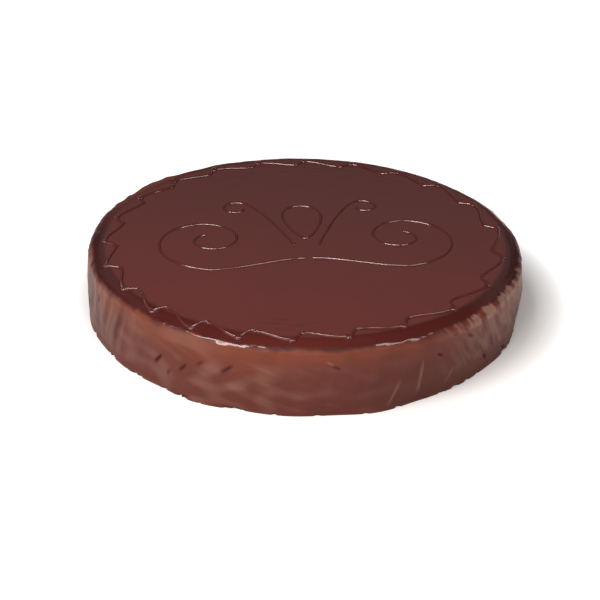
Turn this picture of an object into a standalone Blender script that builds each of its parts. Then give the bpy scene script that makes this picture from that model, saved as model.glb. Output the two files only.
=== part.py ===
"""A whole, uncut chocolate torte, 28 cm across, under a poured chocolate glaze.

The glazed cake is one solid with a flat underside, an uneven hand-glazed side,
a rounded shoulder and a level top.  A running wave piped in one thread goes
round the top, and a mirrored scroll of thin piped strokes lies in the middle.

Frame: metres, +Z up, the origin at the centre of the underside.
"""

import math

import bpy

# ---- driving dimensions -------------------------------------------------
CAKE_RADIUS = 0.140
CAKE_HEIGHT = 0.0445

SHOULDER_WIDTH = 0.0095  # the shoulder is a quarter of an ellipse
SHOULDER_HEIGHT = 0.0067
TOP_RADIUS = CAKE_RADIUS - SHOULDER_WIDTH  # the top is level out to here
SIDE_BULGE = 0.0010  # the side stands out most at half height
FOOT_FLARE = 0.0008  # glaze that ran down and set at the foot
FOOT_HEIGHT = 0.0045

# At the front left the upper side leans in, and the border runs out to the shoulder.
LEAN = 0.0024
LEAN_ANGLE = math.radians(247.0)

SIDE_SEGMENTS = 96
SHOULDER_STEPS = 5
SIDE_STEPS = 7
SAME_RADIUS = 0.0001  # points this much nearer the axis than the edge are on the level top

THREAD_GAP = 0.0003  # piped threads lie this far above the top
THREAD_FLATTENING = 0.6  # a thread's height over its width

WAVE_COUNT = 23
WAVE_CREST_RADIUS = 0.905 * CAKE_RADIUS
WAVE_DEPTH = 0.048 * CAKE_RADIUS
WAVE_LEAN_SHIFT = 0.050 * CAKE_RADIUS  # how much further out it runs where the side leans
WAVE_THREAD = 0.0011  # half the width of the border's thread
WAVE_BEAD = 1.45  # how much wider the thread is at a crest
WAVE_RETURN = 0.20  # share of a wave in which the thread turns back in
WAVE_PHASE = math.radians(-4.1)
# The waves were spaced by eye: tighter at the front left, wider at the back.
WAVE_DRIFT = math.radians(6.7)
WAVE_DRIFT_PHASE = math.radians(-41.7)
WAVE_SECOND_DRIFT = math.radians(2.9)
WAVE_SECOND_PHASE = math.radians(17.1)
SLOW_STEPS = 5  # points in a wave's outward drift, and in its quick return
FAST_STEPS = 6
BEAD_SPAN = 0.12  # share of a wave over which a crest's bead swells and thins

SCROLL_THREAD = 0.0008  # half the width of the scroll's thread
SCROLL_END_BEAD = 1.6  # how much wider the thread is where the stroke ends
LEAD_POINTS = 9  # points along a volute's lead-in, and round its spiral
SPIRAL_POINTS = 34
RISE_POINTS = 12  # points along a tendril, and round its curl
CURL_POINTS = 10
BUD_POINTS = 26
SCROLL_TILT = math.radians(5.0)  # the scroll was piped a little askew
VOLUTE_CENTRE = (0.430 * CAKE_RADIUS, -0.020 * CAKE_RADIUS)
VOLUTE_RADIUS = 0.300 * CAKE_RADIUS
VOLUTE_TURNS = 1.45
VOLUTE_SHRINK = 0.18  # how much of its radius a volute keeps at its end
SCROLL_DIP = 0.095 * CAKE_RADIUS  # how far the scroll's middle lies over its low points
TENDRIL_START = (0.055 * CAKE_RADIUS, -0.090 * CAKE_RADIUS)
TENDRIL_REACH = 0.310 * CAKE_RADIUS
TENDRIL_RISE = 0.390 * CAKE_RADIUS
TENDRIL_CURL = 0.065 * CAKE_RADIUS
CURL_ANGLE = math.radians(243.0)
CURL_TIGHTENING = 0.35  # share of its radius that a curl loses by its end
BUD_BASE = -0.020 * CAKE_RADIUS
BUD_HEIGHT = 0.360 * CAKE_RADIUS
BUD_WIDTH = 0.085 * CAKE_RADIUS
BUD_TAPER = 0.45

GLAZE_COLOUR = (0.060, 0.014, 0.010, 1.0)
THREAD_COLOUR = (0.070, 0.016, 0.011, 1.0)


# ---- scene and materials ------------------------------------------------
def clear_scene():
    for old in list(bpy.data.objects):
        bpy.data.objects.remove(old)


def new_collection(name):
    collection = bpy.data.collections.new(name)
    bpy.context.scene.collection.children.link(collection)
    return collection


def chocolate(name, colour, roughness):
    material = bpy.data.materials.new(name)
    material.use_nodes = True
    shader = material.node_tree.nodes["Principled BSDF"]
    shader.inputs["Base Color"].default_value = colour
    shader.inputs["Roughness"].default_value = roughness
    shader.inputs["Metallic"].default_value = 0.0
    return material


# ---- the glazed cake ----------------------------------------------------
def shoulder_profile():
    """The top's edge and its rounded shoulder, as (radius, height) from the top down."""
    points = []
    for step in range(SHOULDER_STEPS + 1):
        angle = math.pi / 2 * (1 - step / SHOULDER_STEPS)
        points.append(
            (
                TOP_RADIUS + SHOULDER_WIDTH * math.cos(angle),
                CAKE_HEIGHT - SHOULDER_HEIGHT * (1 - math.sin(angle)),
            )
        )
    return points


def side_profile(top_height):
    """The side below the shoulder: a slight bulge, then the flare of the foot."""
    points = []
    for step in range(1, SIDE_STEPS + 1):
        height = top_height * (1 - step / SIDE_STEPS)
        bulge = SIDE_BULGE * math.sin(math.pi * height / top_height)
        foot = FOOT_FLARE * max(0.0, 1 - height / FOOT_HEIGHT)
        points.append((CAKE_RADIUS + bulge + foot, height))
    return points


def side_offset(angle, height):
    """How far a hand-glazed side stands out at this angle and height.

    Each wave repeats after half a turn, which keeps the cake centred.
    """
    rise = height / CAKE_HEIGHT
    waves = (
        0.00090 * math.cos(2 * angle + 2.8)
        + 0.00090 * math.cos(4 * angle + 0.4)
        + 0.00030 * math.sin(10 * angle - 0.8 - 2.5 * rise)
        + 0.00022 * math.sin(16 * angle + 2.7 + 4.0 * rise)
    )
    return waves - LEAN * rise**2 * lean(angle)


def lean(angle):
    """1 in the middle of the stretch where the side leans in, and 0 away from it."""
    return max(0.0, math.cos(angle - LEAN_ANGLE)) ** 3


def top_height(radius, angle):
    """The height of the top, or of its shoulder, at this place."""
    reach = SHOULDER_WIDTH + side_offset(angle, CAKE_HEIGHT)
    share = min(1.0, max(0.0, (radius - TOP_RADIUS) / reach))
    return CAKE_HEIGHT - SHOULDER_HEIGHT * (1 - math.sqrt(1 - share * share))


def turned(name, profile):
    """A closed mesh turned about Z from (radius, height) points that run top to bottom."""
    outline = bpy.data.meshes.new(name + "_profile")
    points = [(radius, 0.0, height) for radius, height in profile]
    edges = [(index, index + 1) for index in range(len(points) - 1)]
    outline.from_pydata(points, edges, [])
    guide = bpy.data.objects.new(name + "_guide", outline)
    bpy.context.scene.collection.objects.link(guide)
    screw = guide.modifiers.new("turn", "SCREW")
    screw.axis = "Z"
    screw.steps = SIDE_SEGMENTS
    screw.render_steps = SIDE_SEGMENTS
    screw.use_merge_vertices = True
    screw.merge_threshold = 0.00001
    graph = bpy.context.evaluated_depsgraph_get()
    mesh = bpy.data.meshes.new_from_object(guide.evaluated_get(graph))
    bpy.data.objects.remove(guide)
    mesh.name = name
    return mesh


def make_cake(collection, material):
    shoulder = shoulder_profile()
    side = side_profile(shoulder[-1][1])
    profile = [(0.0, CAKE_HEIGHT), *shoulder, *side, (0.0, 0.0)]
    mesh = turned("cake", profile)
    for vertex in mesh.vertices:
        radius = math.hypot(vertex.co.x, vertex.co.y)
        if radius < TOP_RADIUS - SAME_RADIUS:
            continue
        angle = math.atan2(vertex.co.y, vertex.co.x)
        share = min(1.0, (radius - TOP_RADIUS) / SHOULDER_WIDTH)
        scale = 1 + share * side_offset(angle, vertex.co.z) / radius
        vertex.co.x *= scale
        vertex.co.y *= scale
    mesh.shade_smooth()
    mesh.set_sharp_from_angle(angle=math.radians(40))
    mesh.materials.append(material)
    cake = bpy.data.objects.new("cake", mesh)
    collection.objects.link(cake)
    return cake


# ---- piped threads ------------------------------------------------------
def piped_thread(name, points, half_width, swell, material, collection, closed=False):
    """A flattened bead of glaze along (x, y) points, resting on the top.

    swell holds the thread's width at each point, as a share of half_width.
    """
    path = bpy.data.curves.new(name, "CURVE")
    path.dimensions = "3D"
    path.bevel_depth = half_width
    path.bevel_resolution = 2
    path.use_fill_caps = True
    spline = path.splines.new("POLY")
    spline.points.add(len(points) - 1)
    for point, (x, y), wide in zip(spline.points, points, swell):
        inner_edge = math.hypot(x, y) - half_width * wide
        surface = top_height(inner_edge, math.atan2(y, x))
        middle = surface + THREAD_GAP + half_width * wide * THREAD_FLATTENING
        point.co = (x, y, middle / THREAD_FLATTENING, 1.0)
        point.radius = wide
    spline.use_cyclic_u = closed
    path.materials.append(material)
    thread = bpy.data.objects.new(name, path)
    thread.scale.z = THREAD_FLATTENING
    collection.objects.link(thread)
    return thread


def wave_angle(turn):
    """The angle round the top where the border is at this share of its waves, as a turn."""
    drift = WAVE_DRIFT * math.sin(turn + WAVE_DRIFT_PHASE)
    second = WAVE_SECOND_DRIFT * math.sin(2 * turn + WAVE_SECOND_PHASE)
    return turn + WAVE_PHASE + drift + second


def wave_radius(share, angle):
    """The border's radius at this share of one wave.

    The thread drifts outwards for most of the wave, then turns back in.
    """
    outward = 1 - WAVE_RETURN
    if share < outward:
        turn = math.pi * share / outward
    else:
        turn = math.pi * (1 + (share - outward) / WAVE_RETURN)
    inward = WAVE_DEPTH * (1 + math.cos(turn)) / 2
    return WAVE_CREST_RADIUS + WAVE_LEAN_SHIFT * lean(angle) - inward


def wave_shares():
    """Where one wave has its points: close together where the thread turns back."""
    outward = 1 - WAVE_RETURN
    slow = [outward * step / SLOW_STEPS for step in range(SLOW_STEPS)]
    fast = [outward + WAVE_RETURN * step / FAST_STEPS for step in range(FAST_STEPS)]
    return slow + fast


def make_border(collection, material):
    points = []
    swell = []
    crest = 1 - WAVE_RETURN
    for wave in range(WAVE_COUNT):
        for share in wave_shares():
            angle = wave_angle(math.tau * (wave + share) / WAVE_COUNT)
            radius = wave_radius(share, angle)
            points.append((radius * math.cos(angle), radius * math.sin(angle)))
            nearness = max(0.0, 1 - abs(share - crest) / BEAD_SPAN)
            swell.append(1 + (WAVE_BEAD - 1) * nearness)
    return piped_thread(
        "piped_border", points, WAVE_THREAD, swell, material, collection, closed=True
    )


def volute_stroke():
    """From the scroll's middle along a dip into a spiral that curls in on itself."""
    centre_x, centre_y = VOLUTE_CENTRE
    low_y = centre_y - VOLUTE_RADIUS
    points = []
    for step in range(LEAD_POINTS):
        share = step / LEAD_POINTS
        ease = share * share * (3 - 2 * share)
        points.append((centre_x * share, low_y + SCROLL_DIP * (1 - ease)))
    for step in range(SPIRAL_POINTS + 1):
        share = step / SPIRAL_POINTS
        angle = -math.pi / 2 + math.tau * VOLUTE_TURNS * share
        radius = VOLUTE_RADIUS * VOLUTE_SHRINK**share
        points.append(
            (centre_x + radius * math.cos(angle), centre_y + radius * math.sin(angle))
        )
    return points


def tendril_stroke():
    """A rising stroke over the volute that ends in a small curl."""
    start_x, start_y = TENDRIL_START
    points = []
    for step in range(RISE_POINTS):
        share = step / RISE_POINTS
        across = start_x + (TENDRIL_REACH - start_x) * share
        up = math.sin(math.pi / 2 * share)
        points.append((across, start_y + (TENDRIL_RISE - start_y) * up))
    for step in range(CURL_POINTS + 1):
        share = step / CURL_POINTS
        angle = math.pi / 2 - CURL_ANGLE * share
        radius = TENDRIL_CURL * (1 - CURL_TIGHTENING * share)
        points.append(
            (
                TENDRIL_REACH + radius * math.cos(angle),
                TENDRIL_RISE - TENDRIL_CURL + radius * math.sin(angle),
            )
        )
    return points


def bud_stroke():
    """An upright egg-shaped loop in the middle of the scroll, wider at its top."""
    points = []
    for step in range(BUD_POINTS):
        turn = math.tau * step / BUD_POINTS
        wide = math.sin(turn) * (1 - BUD_TAPER * math.cos(turn))
        points.append((BUD_WIDTH * wide, BUD_BASE + BUD_HEIGHT * (1 - math.cos(turn)) / 2))
    return points


def stroke_swell(count):
    """A stroke is even along its length and ends in a small bead."""
    swell = [1.0] * count
    swell[-1] = SCROLL_END_BEAD
    swell[-2] = (1 + SCROLL_END_BEAD) / 2
    return swell


def mirrored(points):
    return [(-x, y) for x, y in points]


def tilted(points):
    """The points turned about the cake's axis by the scroll's tilt."""
    cosine = math.cos(SCROLL_TILT)
    sine = math.sin(SCROLL_TILT)
    return [(x * cosine - y * sine, x * sine + y * cosine) for x, y in points]


def make_scroll(collection, material):
    gap = 2 * SCROLL_THREAD  # the mirrored halves stop short of each other
    volute = [(x + gap, y) for x, y in volute_stroke()]
    tendril = tendril_stroke()
    strokes = {
        "scroll_volute_right": volute,
        "scroll_volute_left": mirrored(volute),
        "scroll_tendril_right": tendril,
        "scroll_tendril_left": mirrored(tendril),
    }
    for name, points in strokes.items():
        swell = stroke_swell(len(points))
        piped_thread(name, tilted(points), SCROLL_THREAD, swell, material, collection)
    bud = tilted(bud_stroke())
    even = [1.0] * len(bud)
    piped_thread("scroll_bud", bud, SCROLL_THREAD, even, material, collection, closed=True)


def main():
    clear_scene()
    torte = new_collection("chocolate_torte")
    glaze = chocolate("poured_glaze", GLAZE_COLOUR, 0.16)
    piping = chocolate("piped_glaze", THREAD_COLOUR, 0.18)
    make_cake(torte, glaze)
    make_border(torte, piping)
    make_scroll(torte, piping)


main()
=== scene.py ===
# %% [markdown]
# # A whole chocolate-glazed torte
#
# The real cake is a flat round sponge under a poured chocolate glaze.  The baker tips warm glaze
# over it, levels it with one stroke of a palette knife, and lets it run down the side.  When it
# has set, a wave is piped round the edge and a scroll in the middle.
#
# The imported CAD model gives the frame: the sizes, and the solids that every piece here stands
# for.  This lesson gives each of them the surface of the real thing.

# %% Load the fixed frame
import math
import random
from functools import partial

import bpy
import numpy as np
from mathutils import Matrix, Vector, noise


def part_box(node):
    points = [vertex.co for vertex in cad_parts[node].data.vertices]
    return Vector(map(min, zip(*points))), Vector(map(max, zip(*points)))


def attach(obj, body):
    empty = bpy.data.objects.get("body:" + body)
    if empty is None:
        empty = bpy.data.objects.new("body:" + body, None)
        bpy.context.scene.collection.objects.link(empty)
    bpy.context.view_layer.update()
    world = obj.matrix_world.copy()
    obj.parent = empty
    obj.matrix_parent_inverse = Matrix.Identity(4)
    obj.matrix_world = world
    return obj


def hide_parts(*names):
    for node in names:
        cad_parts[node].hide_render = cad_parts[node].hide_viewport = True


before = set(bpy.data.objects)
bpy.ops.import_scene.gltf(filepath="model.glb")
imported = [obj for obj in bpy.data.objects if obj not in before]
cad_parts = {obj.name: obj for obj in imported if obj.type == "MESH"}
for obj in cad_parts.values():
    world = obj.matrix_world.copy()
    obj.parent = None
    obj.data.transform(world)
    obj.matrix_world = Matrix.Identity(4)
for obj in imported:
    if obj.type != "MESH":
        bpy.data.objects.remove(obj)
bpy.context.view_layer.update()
CAKE_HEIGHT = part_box("cake")[1][2]
print("CAD nodes:", ", ".join(sorted(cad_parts)))
print(f"the cake is {CAKE_HEIGHT * 1000:.1f} mm high")

# %% [markdown]
# ## Helpers
#
# Every node tree below needs nodes with settings and links, so one small function adds a node.
# Each new tree comes with that function already bound to it, under the name "add".  Colours are
# written as hex values, the way a colour picker gives them, and shaders want linear light, so
# another function converts them.  Pattern sizes are given in millimetres, and a texture's Scale
# counts repeats in a metre, so the last one turns one into the other.

# %% Helpers for nodes, colours and pattern sizes
MM = 0.001


def set_inputs(node, inputs):
    """Sets a node's inputs to plain values, or links them to outputs.

    A node that is given as a value stands for its first output.
    """
    for name, value in inputs.items():
        source = value.outputs[0] if isinstance(value, bpy.types.Node) else value
        if isinstance(source, bpy.types.NodeSocket):
            node.id_data.links.new(source, node.inputs[name])
        else:
            node.inputs[name].default_value = source


def add_node(tree, kind, inputs=None, **settings):
    """Adds a node to a tree, with its settings first and then its inputs."""
    node = tree.nodes.new(kind)
    for name, value in settings.items():
        setattr(node, name, value)
    set_inputs(node, inputs or {})
    return node


def linear(hex_colour):
    """An sRGB hex colour as linear red, green, blue and alpha."""
    shares = [int(hex_colour[place : place + 2], 16) / 255 for place in (1, 3, 5)]
    lit = [s / 12.92 if s <= 0.04045 else ((s + 0.055) / 1.055) ** 2.4 for s in shares]
    return (*lit, 1.0)


def pattern_scale(size_mm):
    """A texture's Scale for features of this many millimetres, on Object coordinates."""
    return 1 / (size_mm * MM)


print("a 4 mm pattern has a scale of", pattern_scale(4))

# %% [markdown]
# ## The camera
#
# The cake is seen from the front and a little above, as a guest at a table sees it.  The lens is
# a short telephoto, so the circle of the top stays a calm ellipse.  The camera sits on a sphere
# round the middle of the underside, looks at it, and is rolled by about a degree, because nobody
# holds a camera quite level.  The two functions that place and aim it serve the lights as well.

# %% Place the camera
CAMERA_DISTANCE = 0.84
CAMERA_ELEVATION = math.radians(28.34)
CAMERA_ROLL = math.radians(1.07)
CAMERA_FOCAL_SHARE = 2.1133  # the focal length over the sensor's width
SENSOR_WIDTH_MM = 36.0
CAMERA_SHIFT = (-0.0069, -0.0052)


def new_object(name, data):
    """An object in the scene that holds this camera, light or mesh."""
    holder = bpy.data.objects.new(name, data)
    bpy.context.scene.collection.objects.link(holder)
    return holder


def aim(holder, forward, roll):
    """Turns a camera or a light to look this way, rolled by this angle."""
    holder.rotation_euler = forward.to_track_quat("-Z", "Y").to_euler()
    holder.rotation_euler.rotate_axis("Z", roll)


def make_camera():
    data = bpy.data.cameras.new("guest_view")
    data.sensor_width = SENSOR_WIDTH_MM
    data.lens = CAMERA_FOCAL_SHARE * SENSOR_WIDTH_MM
    data.shift_x, data.shift_y = CAMERA_SHIFT
    data.clip_start = 10 * MM
    camera = new_object("guest_view", data)
    forward = Vector((0, math.cos(CAMERA_ELEVATION), -math.sin(CAMERA_ELEVATION)))
    camera.location = -forward * CAMERA_DISTANCE
    aim(camera, forward, CAMERA_ROLL)
    bpy.context.scene.camera = camera
    return camera


print("camera at", [round(place, 3) for place in make_camera().location])

# %% [markdown]
# ## Light, floor and surroundings
#
# Glossy chocolate shows what stands round it, so the light is built as in a small studio.  One
# broad softbox stands low at the front and gives the side its form.  Three long thin ones stand
# high and near, in a row round the front, and draw a thin line on the rounded shoulder and along
# the piped threads.  The middle one is weak, so the line fades there.  The walls are a dim grey
# with a dark foot, and the ceiling is dark, so the level top keeps its depth.  The pale floor
# glows: it is dim round the cake and to its right, a painted shadow, and white further out, and
# it throws light back at the side.

# %% Softboxes
def make_softbox(name, azimuth, elevation, distance, size, power, roll):
    """A rectangular light that stands round the cake and faces it.  Angles are in degrees."""
    data = bpy.data.lights.new(name, "AREA")
    data.shape = "RECTANGLE"
    data.size, data.size_y = size
    data.energy = power
    data.color = linear(SOFTBOX_WHITE)[:3]
    light = new_object(name, data)
    turn, rise = math.radians(azimuth), math.radians(elevation)
    level = Vector((math.cos(turn), math.sin(turn), 0)) * math.cos(rise)
    away = level + Vector((0, 0, math.sin(rise)))
    light.location = away * distance
    aim(light, -away, math.radians(roll))
    return light


SOFTBOX_WHITE = "#fffaf6"
SOFTBOXES = {
    "broad_front": (229, 20, 1.1, (1.10, 0.50), 1.9, 0),
    "strip_left": (230, 46, 0.71, (0.54, 0.09), 3.3, 16),
    "strip_middle": (272, 52, 0.62, (0.24, 0.12), 0.9, 0),
    "strip_right": (321, 44, 0.71, (0.40, 0.10), 1.15, -20),
}
for name, (azimuth, elevation, distance, size, power, roll) in SOFTBOXES.items():
    make_softbox(name, azimuth, elevation, distance, size, power, roll)
print(len(SOFTBOXES), "softboxes")

# %% Floor and world
FLOOR_SIZE = 4.0
FLOOR_GAP = 0.1 * MM  # keeps the floor off the underside, so that the two never share a plane
# The floor's glow is dimmest round this point and grows with the distance from it: a painted shadow
# round the cake.
PAINTED_SHADOW_CENTRE = (0.010, 0.008, 0)  # the light comes from the left, so the shade lies to the right
FLOOR_GLOW_AND_PAINTED_SHADOW = ((0.140, 0.10), (0.158, 0.48), (0.174, 0.96))  # metres from there, and brightness
# The sine of the angle above the horizon, and the brightness of the surroundings there.
WALL_GREY = ((0.26, 0.04), (0.41, 0.21), (0.60, 0.21), (0.70, 0.01))


def new_material(name):
    """A material, its Principled shader, and the function that adds a node to it."""
    material = bpy.data.materials.new(name)
    material.use_nodes = True
    tree = material.node_tree
    return material, tree.nodes["Principled BSDF"], partial(add_node, tree)


def set_stops(ramp, stops):
    """Gives a colour ramp its greys, each a pair of position and brightness."""
    elements = ramp.elements
    while len(elements) < len(stops):
        elements.new(0.5)
    for element, (position, grey) in zip(elements, stops):
        element.position, element.color = position, (grey, grey, grey, 1)


def make_floor():
    mesh = bpy.data.meshes.new("floor")
    signs = ((-1, -1), (1, -1), (1, 1), (-1, 1))
    corners = [(x * FLOOR_SIZE, y * FLOOR_SIZE, -FLOOR_GAP) for x, y in signs]
    mesh.from_pydata(corners, [], [(0, 1, 2, 3)])
    floor = new_object("floor", mesh)
    paint, shader, add = new_material("glowing_floor_with_painted_shadow")
    # The floor glows, dim near the cake and white further out: a painted shadow round its foot.
    place = add("ShaderNodeTexCoord").outputs["Object"]
    shifted = add("ShaderNodeVectorMath", {0: place, 1: PAINTED_SHADOW_CENTRE}, operation="SUBTRACT")
    away = add("ShaderNodeVectorMath", {0: shifted}, operation="LENGTH").outputs["Value"]
    glow = add("ShaderNodeValToRGB", {"Fac": away})
    set_stops(glow.color_ramp, FLOOR_GLOW_AND_PAINTED_SHADOW)
    set_inputs(shader, {"Emission Color": linear("#ffffff"), "Emission Strength": glow})
    board = {"Base Color": linear("#d6d4d2"), "Roughness": 0.9, "Specular IOR Level": 0.1}
    set_inputs(shader, board)
    mesh.materials.append(paint)
    return floor


def make_world():
    """Grey walls all round under a dark ceiling."""
    world = bpy.data.worlds.new("studio")
    bpy.context.scene.world = world
    world.use_nodes = True
    tree = world.node_tree
    tree.nodes.clear()
    add = partial(add_node, tree)
    direction = add("ShaderNodeTexCoord").outputs["Generated"]
    height = add("ShaderNodeSeparateXYZ", {0: direction}).outputs["Z"]
    grey = add("ShaderNodeValToRGB", {"Fac": height})
    set_stops(grey.color_ramp, WALL_GREY)
    add("ShaderNodeOutputWorld", {"Surface": add("ShaderNodeBackground", {"Color": grey})})
    return world


make_floor()
make_world()
bpy.context.scene.view_settings.view_transform = "Standard"
print("a floor", 2 * FLOOR_SIZE, "m across, and grey walls")

# %% [markdown]
# ## Poured glaze
#
# The glaze is sugar syrup cooked with couverture and poured warm.  It sets to a smooth sugar
# skin: deep red-brown, satin rather than mirror-like, and a little cloudy where it was worked
# with the knife.  A Principled shader with the index of sugar gives the sheen.  Slow noise
# clouds the colour and the roughness, and a fine bump stands for the grain that is too small to
# model.
#
# Three numbers on the mesh's points say more.  The first is where the glaze ran off and set in a
# thin coat, which is paler and more orange; below 0 it is thicker than on the top, and darker.
# It also carries painted light: a painted glow along the back rim, and painted shade that darkens
# the rim at the left and the right and the side at the front right.  The second is where the
# glaze dried in streaks, grey-brown and matt, partly real bloom and partly a painted sheen.  The
# third is painted shade, where a pore or a gap lies in its own shade.  A mesh without these
# numbers reads as 0, so the piped threads can share the same recipe.

# %% The material of poured and piped glaze
SUGAR_IOR = 1.45
# Colours mixed in by the numbers on the points: a darker brown for thick glaze and painted shade, a
# brown for painted shade in pits and gaps, and a grey-brown for dried streaks and painted sheen.
THICK_AND_SHADE_BROWN = "#2e1110"
HOLLOW_SHADE_BROWN = "#311210"
DULL_AND_SHEEN_BROWN = "#826053"
MATT_ROUGHNESS = 0.55


def chocolate(name, deep, cloudy, thin_and_painted_light, cloud_mm, roughness, grain_mm, grain_depth_mm, gloss=0.5):
    """Chocolate whose colour and roughness drift between two values, with a fine grain."""
    material, shader, add = new_material(name)
    place = add("ShaderNodeTexCoord").outputs["Object"]
    pattern = {"Vector": place, "Scale": pattern_scale(cloud_mm), "Detail": 4.0, "Roughness": 0.55}
    clouds = add("ShaderNodeTexNoise", pattern)
    thinness_and_painted_light, dull_and_sheen_share, hollow_shade_share = (
        add("ShaderNodeAttribute", attribute_name=label).outputs["Fac"]
        for label in ("thin_and_painted_light", "dull_and_sheen", "hollow_shade")
    )
    thickness_and_painted_shade = add("ShaderNodeMath", {0: thinness_and_painted_light, 1: -1.0}, operation="MULTIPLY")
    colour = linear(deep)
    for share, hex_colour in (
        (clouds, cloudy),
        (thickness_and_painted_shade, THICK_AND_SHADE_BROWN),
        (thinness_and_painted_light, thin_and_painted_light),
        (dull_and_sheen_share, DULL_AND_SHEEN_BROWN),
        (hollow_shade_share, HOLLOW_SHADE_BROWN),
    ):
        # A Mix node set to colours has its factor first and its two colours seventh and eighth.
        layer = {0: share, 6: colour, 7: linear(hex_colour)}
        colour = add("ShaderNodeMix", layer, data_type="RGBA").outputs[2]
    drift = {"Value": clouds, "To Min": roughness[0], "To Max": roughness[1]}
    satin = add("ShaderNodeMapRange", drift)
    matt = add("ShaderNodeMath", {0: dull_and_sheen_share, 1: hollow_shade_share}, operation="MAXIMUM")
    dried = add("ShaderNodeMix", {0: matt, 2: satin, 3: MATT_ROUGHNESS}, data_type="FLOAT")
    pattern = {"Vector": place, "Scale": pattern_scale(grain_mm), "Detail": 2.0}
    grain = add("ShaderNodeTexNoise", pattern)
    bump = add("ShaderNodeBump", {"Height": grain, "Distance": grain_depth_mm * MM})
    set_inputs(shader, {"Base Color": colour, "Roughness": dried, "Normal": bump})
    set_inputs(shader, {"IOR": SUGAR_IOR, "Specular IOR Level": gloss})
    return material


poured_glaze = chocolate(
    "poured_chocolate_glaze", "#5a2421", "#612823", "#713522", 38, (0.13, 0.20), 1.6, 0.03
)
run_glaze = chocolate(
    "run_off_chocolate_glaze", "#482521", "#5e2f29", "#6d3829", 13, (0.38, 0.50), 1.6, 0.05, 0.10
)
piped_glaze = chocolate(
    "piped_chocolate_glaze", "#4f201c", "#58241f", "#6f3524", 9, (0.12, 0.18), 1.0, 0.02, 0.8
)
print("glazes:", poured_glaze.name, run_glaze.name, piped_glaze.name)

# %% [markdown]
# ## Bare sponge
#
# Glaze is poured from above, so the underside stays bare: a baked sponge, matt, pale brown and
# full of fine pores.  Small Voronoi cells make the pores, and they darken the colour and dent
# the surface together.

# %% The material of the underside
PORE_MM = 1.8
PORE_DEPTH_MM = 0.4


def baked_sponge():
    material, shader, add = new_material("baked_chocolate_sponge")
    place = add("ShaderNodeTexCoord").outputs["Object"]
    pattern = {"Vector": place, "Scale": pattern_scale(PORE_MM)}
    pores = add("ShaderNodeTexVoronoi", pattern)
    crumb = add("ShaderNodeValToRGB", {"Fac": pores})
    dark, pale = crumb.color_ramp.elements
    dark.position, dark.color = 0.05, linear("#2e1a12")
    pale.position, pale.color = 0.55, linear("#5a3624")
    bump = add("ShaderNodeBump", {"Height": pores, "Distance": PORE_DEPTH_MM * MM})
    set_inputs(shader, {"Base Color": crumb, "Roughness": 0.9, "Normal": bump})
    return material


sponge = baked_sponge()
print("the underside is", sponge.name)

# %% [markdown]
# ## The cake's form
#
# These sizes are close to the ones the CAD solid was made with, so that the skin lies on it: a
# level top, a shoulder, and a side with a slight bulge that flares at the foot.  The solid's
# shoulder is a quarter of an ellipse.  On the real cake the glaze leaves the top in a slow bend,
# runs down a slope and turns over a tighter rim, and that rim is what catches the light.  At the
# back the shoulder is as full as the solid's.  The cake was glazed by hand, so its outline swells
# and shrinks a little, and at the front left its upper side leans in.

# %% Sizes and rules of the form
CAKE_RADIUS = 140 * MM
SHOULDER_WIDTH = 11.0 * MM
SHOULDER_HEIGHT = 7.2 * MM
TOP_RADIUS = CAKE_RADIUS - SHOULDER_WIDTH
SIDE_BULGE = 1.0 * MM
FOOT_FLARE = 0.8 * MM
FOOT_HEIGHT = 4.5 * MM
LEAN = 2.4 * MM
LEAN_ANGLE = math.radians(247)


def lean(angle):
    """1 in the middle of the stretch where the side leans in, and 0 away from it."""
    return np.maximum(0, np.cos(angle - LEAN_ANGLE)) ** 3


def side_offset(angle, height):
    """How far the hand-glazed side stands out at this angle and height."""
    rise = height / CAKE_HEIGHT
    waves = (
        0.90 * np.cos(2 * angle + 2.8)
        + 0.90 * np.cos(4 * angle + 0.4)
        + 0.30 * np.sin(10 * angle - 0.8 - 2.5 * rise)
        + 0.22 * np.sin(16 * angle + 2.7 + 4.0 * rise)
    )
    return waves * MM - LEAN * rise**2 * lean(angle)


def shoulder_line():
    """Rows of reach, drop, slope and length along the shoulder, from its top edge to its foot."""
    length = np.linspace(0, 1, SLOPE_STEPS)
    slope = np.radians(np.interp(length, SLOPE_SHARES, SLOPE_DEGREES))
    reach = np.concatenate([[0], np.cumsum(np.cos((slope[1:] + slope[:-1]) / 2))])
    drop = np.concatenate([[0], np.cumsum(np.sin((slope[1:] + slope[:-1]) / 2))])
    reach, drop = reach * SHOULDER_WIDTH / reach[-1], drop * SHOULDER_HEIGHT / drop[-1]
    slope = np.arctan2(np.gradient(drop), np.gradient(reach))
    length = np.concatenate([[0], np.cumsum(np.hypot(np.diff(reach), np.diff(drop)))])
    return reach, drop, slope, length


SLOPE_STEPS = 401
SLOPE_SHARES = (0, 0.30, 0.60, 0.70, 0.84, 1)  # of the shoulder's length
SLOPE_DEGREES = (0, 32, 34, 46.5, 52, 90)
shoulder_reach, shoulder_drop, shoulder_slope, shoulder_length = shoulder_line()


def fullness(angle, share):
    """How much higher the shoulder stands where it is full and round, as it is at the back."""
    slope = np.interp(share * SHOULDER_WIDTH, shoulder_reach, shoulder_drop)
    quarter = SHOULDER_HEIGHT * (1 - np.sqrt(1 - share**2))
    at_back = np.clip(0.6 + 1.2 * np.sin(angle), 0, 1)
    return at_back * (slope - quarter)


def top_height(radius, angle):
    """The height of the top, or of its shoulder, at this place."""
    reach = SHOULDER_WIDTH + side_offset(angle, CAKE_HEIGHT)
    share = np.clip((radius - TOP_RADIUS) / reach, 0, 1)
    slope = np.interp(share * SHOULDER_WIDTH, shoulder_reach, shoulder_drop)
    return CAKE_HEIGHT - slope + fullness(angle, share)


print(f"the level top is {TOP_RADIUS * 2000:.0f} mm across")

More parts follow.
